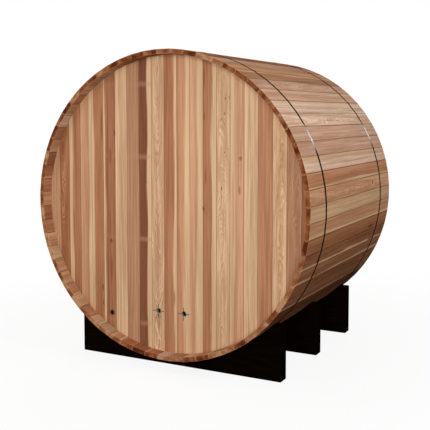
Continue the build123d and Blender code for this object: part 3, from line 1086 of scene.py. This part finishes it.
glint_angle = np.radians(26.5)
glint_height = axis_height + barrel_radius * np.sin(glint_angle)
# Painted glint: the bands are bright steel only near the height where they mirror the white around
# them.
painted_glint_band = 2, glint_height, 12 * millimetre, 105 * millimetre
# Painted shade: the sleeves are bright steel at the mouth and black deeper in the bore; the band
# bolts, far from the wall, are black all over.
painted_shade_bore = 1, wall_y, 24 * millimetre, 42 * millimetre
band_steel = steel_finish(
    "band_steel", (0.66, 0.65, 0.64), roughness=0.42, stretch=(1.0, 60.0, 1.0), painted_light_zone=painted_glint_band
)
sleeve_steel = steel_finish(
    "sleeve_steel", (0.60, 0.51, 0.40), roughness=0.5, stretch=(40.0, 1.0, 40.0),
    metal=0.3, painted_light_zone=painted_shade_bore,
)
hinge_steel = steel_finish(
    "hinge_steel", (0.27, 0.26, 0.25), roughness=0.46, stretch=(1.0, 1.0, 40.0)
)
print("steel finishes", band_steel.name, sleeve_steel.name, hinge_steel.name)

# %% Straps in their places
clamp_angle = np.radians(213.75)
clamp_half_gap = 7 * millimetre
lug_thickness = 3 * millimetre
band_seat = 0.2 * millimetre
band_thickness = 1.0 * millimetre
lug_height = 26 * millimetre
strap_ease = 0.3 * millimetre
strap_inside = barrel_radius + band_seat
strap_outside = strap_inside + band_thickness


def strap_path(apothem, near_side):
    """One side of a strap: down a lug, round the corners of the staves, and up the other lug."""
    tip = strap_outside + lug_height
    turns = clamp_angle + stave_step * (np.arange(stave_count) + 0.5)
    corner = apothem / np.cos(stave_step / 2) + 0 * turns
    radius = np.concatenate([[tip, apothem], corner, [apothem, tip]])
    side = np.concatenate([[near_side, near_side], 0 * turns, [-near_side, -near_side]])
    angle = np.concatenate([[clamp_angle] * 2, turns, [clamp_angle] * 2])
    return round_barrel(radius, side, angle)


def band_batch(node):
    """A strap: inside and outside path, each at both edges, with the outside's edges eased."""
    low, high = corners(node)
    inside = strap_path(strap_inside, clamp_half_gap)
    outside = strap_path(strap_outside, clamp_half_gap + lug_thickness)
    blend = [(0.0, strap_ease), (0.3, 0.0), (0.7, 0.0), (1.0, strap_ease)]
    x = [inside[0] + (outside[0] - inside[0]) * share for share, _ in blend]
    z = [inside[1] + (outside[1] - inside[1]) * share for share, _ in blend]
    y = [low[1] + ease for _, ease in blend] + [high[1] - ease for _, ease in blend][::-1]
    x, z = np.stack(x + x[::-1], -1), np.stack(z + z[::-1], -1)
    return capped(np.stack([x, np.broadcast_to(y, x.shape), z], -1))


print("straps", band_thickness, "metres thick, with lugs", lug_height, "metres high")

# %% Bands and their bolts
bolt_radius = 3 * millimetre
nut_radius = 6 * millimetre
nut_height = 5.5 * millimetre


def turned(profile, sides):
    """Rings of a round or hexagonal piece, from pairs of place along its axis and radius."""
    angle = 2 * np.pi * (np.arange(sides) + 0.5) / sides
    along, radius = np.array(profile).T[..., None]
    return along + 0 * angle, radius * np.cos(angle), radius * np.sin(angle)


def bolt_batches(node):
    """Bolt through the two lugs of a band, with its hexagon head, nut and shank end."""
    y_middle = middle_of(corners(node))[1]
    height = strap_outside + lug_height / 2
    reach = clamp_half_gap + lug_thickness
    n, b = nut_radius, bolt_radius
    head = [(reach, n), (reach + 0.8 * nut_height, n), (reach + nut_height, 0.86 * n)]
    nut = [(-reach, n), (-reach - 0.85 * nut_height, n), (-reach - nut_height, 0.86 * n)]
    tail = -reach - 1.9 * nut_height
    shank = [(reach, b), (tail + 0.5 * b, b), (tail, 0.7 * b)]
    batches = []
    for profile, sides in ((head, 6), (nut, 6), (shank, 24)):
        along, out, side_y = turned(profile, sides)
        x, z = round_barrel(height + out, along, clamp_angle)
        batches.append(capped(np.stack([x, y_middle + side_y, z], -1)))
    return batches


for node in ("rear_band", "front_band"):
    add_piece(f"steel_{node}", [band_batch(node)], band_steel, [node])
    add_piece(f"{node}_bolt", bolt_batches(node), sleeve_steel)

# %% [markdown]
# ## Cable sleeves and grommet
# Two steel tubes line the holes for the heater's cables, bright at the mouth and black deeper in,
# which is painted shade of the bore, and a rubber grommet lines a small hole. All three are turned
# shapes. They could be spun
# with a modifier, but a closed section carried once round the hole's axis by a formula keeps its
# lips round.

# %% Rubber
def rubber_finish():
    """Black rubber with a fine moulded grain."""
    f = Finish(bpy.data.materials.new("grommet_rubber"))
    grain = f.noise(f.object_place(), 900.0, 2.0)
    dark, worn = opaque(shade(9, 9, 10)), opaque(shade(22, 22, 23))
    f.shader("Base Color", f.mix(f.ease(grain, 0.3, 0.8), dark, worn))
    f.shader("Roughness", f.math("MULTIPLY_ADD", grain, 0.2, 0.28))
    f.shader("Specular IOR Level", 0.2)
    f.bump(grain, 0.1, 0.1 * millimetre)
    return f.owner


grommet_rubber = rubber_finish()
print(grommet_rubber.name)


# %% Cable sleeves in their places
def turned_loop(hole_x, hole_z, profile, sides=64):
    """A closed section of (radius, y) points carried round an axis along Y."""
    angle = 2 * np.pi * np.arange(sides)[:, None] / sides
    radius, y = np.array(profile).T
    x = hole_x + radius * np.cos(angle)
    z = axis_height + hole_z + radius * np.sin(angle)
    points = np.stack([x, y + 0 * x, z], -1).reshape(-1, 3)
    return points, facing_out(points, loop_faces(x.shape)), {}


sleeve_wall = 1.5 * millimetre
lip = 0.4 * millimetre
sleeve_end_y = sleeve_high[1]
sleeve_bore = sleeve_radius - sleeve_wall
sleeve_section = [
    (sleeve_bore, wall_y + lip), (sleeve_bore + lip, wall_y),
    (sleeve_radius - lip, wall_y), (sleeve_radius, wall_y + lip),
    (sleeve_radius, sleeve_end_y - lip), (sleeve_radius - lip, sleeve_end_y),
    (sleeve_bore + lip, sleeve_end_y), (sleeve_bore, sleeve_end_y - lip),
]
sleeves = [turned_loop(x, z, sleeve_section) for x, z, _, _ in holes[:2]]
add_piece("steel_cable_sleeves", sleeves, sleeve_steel, ["cable_sleeves"])

# %% Cable grommet in its place
grommet_low, grommet_high = corners("cable_grommet")
flange = (grommet_high[0] - grommet_low[0]) / 2
flange_y, grommet_back_y = grommet_low[1], grommet_high[1]
grommet_bore = 7 * millimetre
dome = wall_y - flange_y
dome_points = 5
arc = np.radians(np.linspace(0, 90, dome_points))
grommet_section = [
    (flange - dome + dome * np.cos(turn), wall_y - dome * np.sin(turn)) for turn in arc
]
grommet_section += [(grommet_bore + lip, flange_y), (grommet_bore, flange_y + lip)]
grommet_section += [
    (grommet_bore, grommet_back_y), (grommet_neck, grommet_back_y), (grommet_neck, wall_y)
]
grommet = turned_loop(holes[2][0], holes[2][1], grommet_section)
add_piece("rubber_cable_grommet", [grommet], grommet_rubber, ["cable_grommet"])

# %% [markdown]
# ## Front wall
# The front end has the same boards, round a doorway. The wall is cut into four groups: beside the
# door on both sides, over it and under it. Boards next to the door frame have plain edges there, so
# each group's outer edges carry no tongue and no groove.

# %% Front wall in its place
frame_clearance = 0.4 * millimetre
front_wall_y = corners("front_wall_left")[1][1]
frame_half_width = corners("door_head")[1][0]
frame_half_height = corners("door_head")[1][2] - axis_height
beside_x = frame_half_width + frame_clearance
beside_z = frame_half_height + frame_clearance
side_boards = int((wall_radius - narrowest_board - beside_x) / board_pitch)
right_joints = np.append(beside_x + board_pitch * np.arange(side_boards + 1), wall_radius)
short_tones, short_cuts = "slrbltsr", "qqqfqqqq"
short_joints = np.linspace(-beside_x, beside_x, len(short_tones) + 1)
front_seed = 40


def straight(z):
    """A level edge: the same height z for every x."""
    return lambda x: z + 0 * x


front_groups = {
    "front_wall_right": ("lbsrtl", "qfqqqf", right_joints, rim_foot, rim_height),
    "front_wall_left": ("rslbks", "qqfqqq", -right_joints[::-1], rim_foot, rim_height),
    "front_wall_over_door": (short_tones, short_cuts, short_joints, straight(beside_z), rim_height),
    "front_wall_under_door": (short_tones, short_cuts, short_joints, rim_foot, straight(-beside_z)),
}
for number, (node, (letters, cuts, joints, foot, head)) in enumerate(front_groups.items()):
    logs = plank_logs(letters, cuts, np.zeros(len(letters)), front_seed + number)
    group = board_batch(joints, foot, head, front_wall_y, -1, logs, plain=True)
    add_piece(f"cedar_{node}", [group], board_cedar, [node])

# %% [markdown]
# ## Door frame and door
# The frame's jambs, head and sill are rebated bars: an L-shaped section with a lip behind the edge of
# the door. A bar is an outline with its corners eased, carried straight from one end to the other.
# The points of an L run along its outer side first and come back along its inner side, so the same
# rungs close its ends. The door is seven tongued boards held by two ledges on the inside.

# %% Straight bars
bar_arris = 1.5 * millimetre
upright, level, outward = (0, 1, 2), (2, 1, 0), (0, 2, 1)


def eased(outline, cut):
    """An outline with each corner replaced by two points, at a distance along its two sides."""
    here = np.array(outline, float)
    ways = [np.roll(here, step, 0) - here for step in (1, -1)]
    cuts = [here + cut * way / np.linalg.norm(way, axis=1, keepdims=True) for way in ways]
    return np.stack(cuts, 1).reshape(-1, 2)


def bar_batch(outline, start, stop, axes, log):
    """A bar: an outline in its own (u, v), carried along w, with u, v, w put on X, Y, Z by axes."""
    ring = eased(outline, bar_arris)
    u, v = (np.tile(ring[:, part], (1, 2, 1)) for part in (0, 1))
    w = np.array((start, stop))[None, :, None] + 0 * u
    points, quads, owner = closed_planks(np.stack([(u, v, w)[part] for part in axes], -1))
    width = np.ptp(ring[:, 0])
    marks = log_marks(u - ring[:, 0].min() - width / 2, v - ring[:, 1].max(), w, width, log)
    marks["end"] = np.where(owner < 0, 0.0, board_end)
    return points, quads, marks


def box_outline(low, high):
    """Corners of a rectangle, the lower side first."""
    return [(low[0], low[1]), (high[0], low[1]), (high[0], high[1]), (low[0], high[1])]


print("bars have their corners cut by", bar_arris, "metres")


# %% Door frame in its place
trim_cedar = cedar_finish("trim_cedar", (1.2 * millimetre, 0.3), board_gloss)
door_clearance = 3 * millimetre
door_seat = 0.4 * millimetre
door_stop = 10 * millimetre
frame_back_y, frame_y = corners("door_head")[0][1], corners("door_head")[1][1]
door_low, door_high = corners("door_boards")
doorway_x = door_high[0] + door_clearance
doorway_z = door_high[2] - axis_height + door_clearance
stop_y = door_low[1] - door_seat
trim_tones = "rrtbrlrb"
trim_logs = plank_logs(trim_tones, "q" * len(trim_tones), np.zeros(len(trim_tones)), seed=51)


def rebated(inner, outer):
    """L-shaped outline of a frame bar, from the doorway's edge to the frame's outer edge."""
    lip_edge = inner - np.sign(inner) * door_stop
    outside = [(lip_edge, frame_back_y), (outer, frame_back_y), (outer, frame_y)]
    return outside + [(inner, frame_y), (inner, stop_y), (lip_edge, stop_y)]


def placed_bar(outline, start, stop, axes, number):
    """A bar whose heights are counted from the barrel's axis."""
    points, quads, marks = bar_batch(outline, start, stop, axes, pick(trim_logs, [number]))
    return points + np.array((0.0, 0.0, axis_height)), quads, marks


for number, (side, node) in enumerate(((1, "right_door_jamb"), (-1, "left_door_jamb"))):
    outline = rebated(side * doorway_x, side * frame_half_width)
    bar = placed_bar(outline, -doorway_z, doorway_z, upright, number)
    add_piece(f"cedar_{node}", [bar], trim_cedar, [node])
for number, (side, node) in enumerate(((1, "door_head"), (-1, "door_sill")), 2):
    plain_z = sorted((side * doorway_z, side * frame_half_height))
    lip_z = sorted((side * doorway_z, side * (doorway_z - door_stop)))
    beam = box_outline((plain_z[0], frame_back_y), (plain_z[1], frame_y))
    lip_bar = box_outline((lip_z[0], frame_back_y), (lip_z[1], stop_y))
    lip_reach = doorway_x - door_stop
    bars = [
        placed_bar(beam, -frame_half_width, frame_half_width, level, number),
        placed_bar(lip_bar, -lip_reach, lip_reach, level, number),
    ]
    add_piece(f"cedar_{node}", bars, trim_cedar, [node])

# %% Door in its place
door_tones, door_cuts = "lrslbsl", "qqfqqfq"
door_saps = (0, 0.2, 0, 0, -0.25, 0, 0)
door_joints = np.linspace(door_low[0], door_high[0], len(door_tones) + 1)
door_half = door_high[2] - axis_height
door_logs = plank_logs(door_tones, door_cuts, door_saps, seed=61)
door_foot, door_head = straight(-door_half), straight(door_half)
door = board_batch(door_joints, door_foot, door_head, frame_y, -1, door_logs, plain=True)
add_piece("cedar_door_boards", [door], board_cedar, ["door_boards"])

ledge_low, ledge_high = corners("door_ledges")
ledge_width = 110 * millimetre
ledge_z = ledge_high[2] - axis_height - ledge_width / 2
ledges = []
for number, z in enumerate((ledge_z, -ledge_z), 4):
    outline = box_outline((z - ledge_width / 2, ledge_low[1]), (z + ledge_width / 2, ledge_high[1]))
    ledges.append(placed_bar(outline, ledge_low[0], ledge_high[0], level, number))
add_piece("cedar_door_ledges", ledges, trim_cedar, ["door_ledges"])

# %% [markdown]
# ## Hinges and handle
# Two butt hinges carry the door on its left jamb. A hinge is a pair of thin leaves on the face, a
# knuckle of five barrels about the pin, and screws, whose heads have a socket. The handle is a wooden
# grip on two square posts. Knuckles, screws and the grip are turned: a profile carried round an axis.

# %% Hinges in their places
hinge_low, hinge_high = corners("door_hinges")
hinge_height = 100 * millimetre
leaf_thickness = 3 * millimetre
leaf_ease = 0.5 * millimetre
knuckle_radius = 6 * millimetre
barrel_count = 5
screw_rows = (-0.36, 0.0, 0.36)
screw_reach = 0.62
hinge_x = (hinge_low[0] + hinge_high[0]) / 2
hinge_z = hinge_high[2] - axis_height - hinge_height / 2
knuckle_y = frame_y + knuckle_radius


def knuckle_profile():
    """Height and radius along a knuckle: barrels with narrow cuts between them."""
    cut, parting = 0.5 * millimetre, 0.01 * millimetre
    step = hinge_height / barrel_count
    start = -hinge_height / 2 + step * np.arange(barrel_count)
    along = start[:, None] + (0.0, cut, step - cut, step - parting)
    radius = knuckle_radius * np.tile((0.9, 1.0, 1.0, 0.9), barrel_count)
    return np.column_stack([along.ravel(), radius])


def screw_batch(x, z, face_y):
    """A screw's head on a face: a low dome with a round socket."""
    head, rise, socket = 4.2 * millimetre, 0.7 * millimetre, 1.6 * millimetre
    dome = [(-rise, head), (0.0, head), (rise, 0.75 * head)]
    along, right, up = turned(dome + [(rise, socket), (0.2 * rise, 0.9 * socket)], 24)
    return capped(np.stack([x + right, face_y + along, axis_height + z + up], -1))


def hinge_batches(z):
    """Leaves, knuckle and screws of one hinge at a height from the axis."""
    leaf_face = frame_y + leaf_thickness
    leaf = eased(box_outline((hinge_low[0], frame_y), (hinge_high[0], leaf_face)), leaf_ease)
    ends = axis_height + z + np.array((-0.5, 0.5)) * hinge_height
    leaves = np.stack([np.column_stack([leaf, np.full(len(leaf), end)]) for end in ends])
    along, right, out = turned(knuckle_profile(), 32)
    knuckle = np.stack([hinge_x + right, knuckle_y + out, axis_height + z + along], -1)
    reach = screw_reach * (hinge_high[0] - hinge_low[0]) / 2
    spots = [
        (hinge_x + side * reach, z + row * hinge_height) for side in (-1, 1) for row in screw_rows
    ]
    screws = [screw_batch(x, screw_z, leaf_face) for x, screw_z in spots]
    return [capped(leaves), capped(knuckle)] + screws


hinges = hinge_batches(hinge_z) + hinge_batches(-hinge_z)
add_piece("steel_door_hinges", hinges, hinge_steel, ["door_hinges"])

# %% Handle in its place
handle_low, handle_high = corners("door_handle")
grip_radius = (handle_high[0] - handle_low[0]) / 2
grip_bevel = 6 * millimetre
post_size = 20 * millimetre
post_inset = 40 * millimetre
handle_x = (handle_low[0] + handle_high[0]) / 2
grip_y = handle_high[1] - grip_radius
grip_half = (handle_high[2] - handle_low[2]) / 2


def grip_batch(log):
    """The grip: a cylinder with bevelled ends, with log marks as on any bar."""
    bevel = grip_bevel * np.array((0.0, 0.3, 1.0))
    drop = grip_bevel * np.array((1.0, 0.3, 0.0))
    along = np.concatenate([-grip_half + bevel, grip_half - bevel[::-1]])
    radius = grip_radius - np.concatenate([drop, drop[::-1]])
    w, u, v = turned(np.column_stack([along, radius]), 48)
    points, quads, _ = capped(np.stack([handle_x + u, grip_y + v, axis_height + w], -1))
    marks = log_marks(u[None], v[None], w[None], 4 * grip_radius, log)
    marks["end"] = np.zeros(len(quads))
    return points, quads, marks


grip = grip_batch(pick(trim_logs, [6]))
posts = []
for z in (grip_half - post_inset, post_inset - grip_half):
    half = post_size / 2
    outline = box_outline((handle_x - half, z - half), (handle_x + half, z + half))
    posts.append(placed_bar(outline, frame_y, grip_y, outward, 7))
add_piece("cedar_door_handle", [grip] + posts, trim_cedar, ["door_handle"])

# %% [markdown]
# ## Light, floor and camera
# The photo is a cut-out on white, lit softly. A dim white world fills in from all sides. A large lamp
# far behind the camera lights the rear wall, with a spot for the pool of light on its middle, and a
# high one on the right models the staves. Three more keep the near left, the door end and the left
# side from going dark. The floor looks white to the camera but keeps a faint shadow, and it throws
# little light back up, so that the underside of the barrel stays dark. The bright patches on the
# bands, a painted glint, mirror this white.

# %% World and floor
white = (1.0, 1.0, 1.0, 1.0)


def white_world(strength):
    """White to the camera and in reflections, and a dimmer white for the light it gives."""
    f = Finish(bpy.data.worlds.new("studio"))
    background = f.tree.nodes["Background"].inputs
    f.put(background["Color"], white)
    f.put(background["Strength"], f.ease(f.seen(), 0.0, 1.0, strength, 1.0))
    bpy.context.scene.world = f.owner


def floor_finish(bounce, keep_white):
    """Diffuse floor of a given bounce, white to the camera apart from a share of its shade."""
    f = Finish(bpy.data.materials.new("floor_white"))
    f.tree.nodes.clear()
    plain = f.node("ShaderNodeBsdfDiffuse", {"Color": (bounce, bounce, bounce, 1.0)})
    pale = f.node("ShaderNodeBsdfDiffuse", {"Color": (0.95, 0.95, 0.95, 1.0)})
    glow = f.node("ShaderNodeEmission", {"Color": white, "Strength": 1.0})
    fade = f.ease(f.vector("LENGTH", f.object_place()), 1.2, 3.0, keep_white, 1.0)
    shown = f.node("ShaderNodeMixShader", {0: fade, 1: pale.outputs[0], 2: glow.outputs[0]})
    either = f.node("ShaderNodeMixShader", {0: f.seen(), 1: plain.outputs[0], 2: shown.outputs[0]})
    f.node("ShaderNodeOutputMaterial", {"Surface": either.outputs[0]})
    return f.owner


white_world(strength=0.2)
floor_half = 30.0
floor_mesh = bpy.data.meshes.new("studio_floor")
floor_corners = floor_half * np.array([(-1, -1, 0), (1, -1, 0), (1, 1, 0), (-1, 1, 0)])
floor_mesh.from_pydata(floor_corners.tolist(), [], [(0, 1, 2, 3)])
floor_mesh.materials.append(floor_finish(bounce=0.1, keep_white=0.88))
floor = bpy.data.objects.new("studio_floor", floor_mesh)
bpy.context.scene.collection.objects.link(floor)
print("floor", 2 * floor_half, "metres square")


# %% Lamps
def aim(thing, target):
    """Turn a lamp, which shines along its own -Z, to face a point."""
    way = Vector(target) - thing.location
    thing.rotation_euler = way.to_track_quat("-Z", "Y").to_euler()


def lamp(name, place, target, watts, kind="AREA", **shape):
    """A soft lamp: a square one, or a spot whose light fades out from the middle of its pool."""
    light = bpy.data.lights.new(name, kind)
    light.energy = watts
    for setting, value in shape.items():
        setattr(light, setting, value)
    holder = bpy.data.objects.new(name, light)
    holder.location = place
    bpy.context.scene.collection.objects.link(holder)
    aim(holder, target)


barrel_middle = (0.0, 0.0, axis_height)
wall_middle = (0.0, wall_y, 1.16)
warm, cool = (1.0, 0.975, 0.92), (0.93, 1.0, 1.1)
pool_angle = np.radians(15.0)
lamp("key_lamp", (4.3, -11.0, 2.2), barrel_middle, 1010, size=6.5, color=warm)
lamp("pool_lamp", (2.4, -9.0, 1.9), wall_middle, 1000, "SPOT",
     spot_size=pool_angle, spot_blend=1.0, shadow_soft_size=0.8, color=cool)
lamp("near_left_lamp", (-3.0, -4.0, 1.6), barrel_middle, 52, size=2.0)
lamp("side_lamp", (4.6, -0.9, 4.4), barrel_middle, 148, size=2.0)
lamp("door_lamp", (-2.6, 8.4, 1.4), barrel_middle, 500, size=4.0)
lamp("left_lamp", (-6.0, -0.5, 2.6), barrel_middle, 150, size=2.5)

# %% Camera
looks_down, turned_left = 3.931, 27.568
camera_data = bpy.data.cameras.new("camera")
camera_data.lens = 66.41
camera_data.sensor_width = 36.0
camera_data.shift_y = -0.109
camera = bpy.data.objects.new("camera", camera_data)
camera.location = (2.3612, -4.6396, 1.5020)
camera.rotation_euler = np.radians((90.0 - looks_down, 0.0, turned_left))
bpy.context.scene.collection.objects.link(camera)
bpy.context.scene.camera = camera
bpy.context.scene.view_settings.view_transform = "Standard"
print("camera", tuple(camera.location))
